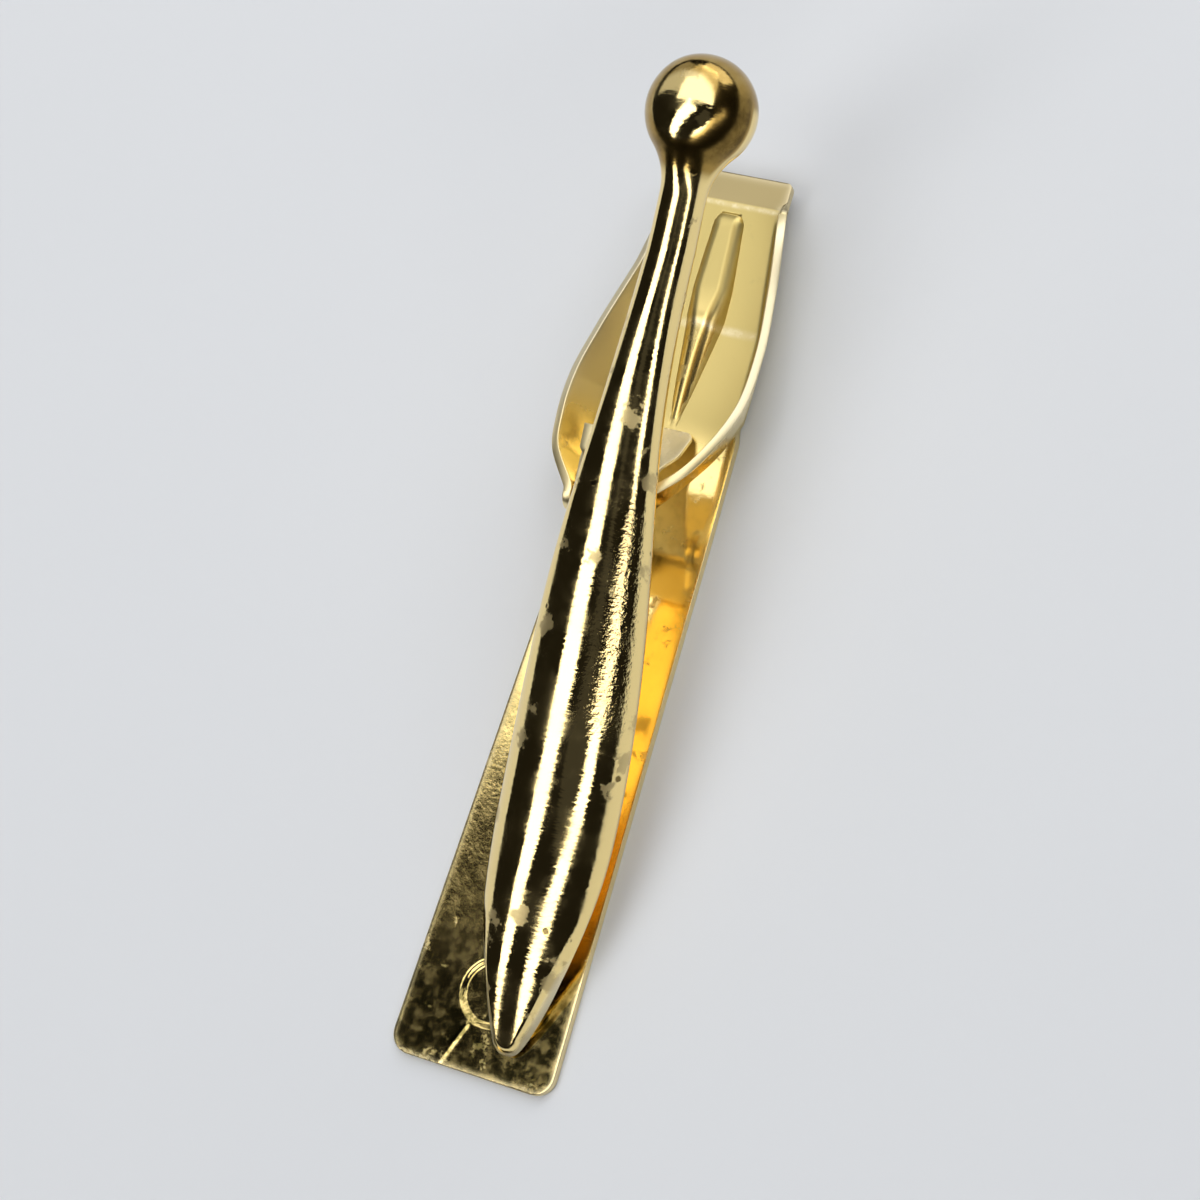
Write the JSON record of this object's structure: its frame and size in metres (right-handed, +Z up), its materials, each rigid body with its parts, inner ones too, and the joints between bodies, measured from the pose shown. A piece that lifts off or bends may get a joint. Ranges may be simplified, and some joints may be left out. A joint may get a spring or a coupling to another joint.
{
  "type": "tie clip",
  "caption": "Alligator tie clip: a club-shaped bar with a ball end, hinged on a sprung stamped lever that grips the tie between its jaws.",
  "frame": {"origin": "on the table, under the middle of the box round the closed clip", "axes": "+Z up from the lever to the bar, +Y along the clip from the jaws to the ball end and thumb tail, +X across"},
  "size_m": [0.01, 0.05, 0.0145],
  "materials": {
    "bar_gold": "polished gold plate with worn, tarnished patches",
    "sheet_gold": "satin gold plate, polished by wear at the jaw",
    "pin_brass": "bare brass, peened ends",
    "spring_steel": "thinly plated spring steel",
    "solder": "dull solder"
  },
  "bodies": {
    "lever": {"back_lever": "sheet_gold", "hinge_pin": "pin_brass", "leaf_spring": "spring_steel"},
    "front": {"club_bar": "bar_gold", "front_bracket": "sheet_gold", "solder_seam": "solder"}
  },
  "joints": [
    {"name": "jaw_pivot", "type": "hinge", "parent": "lever", "child": "front", "pos_m": [0, 0.00394, 0.00495], "axis": [-1, 0, 0], "range_deg": [0, 20], "stiffness_Nm_per_rad": 0.06, "springref_deg": -20.05, "deforming": ["leaf_spring"]}
  ]
}
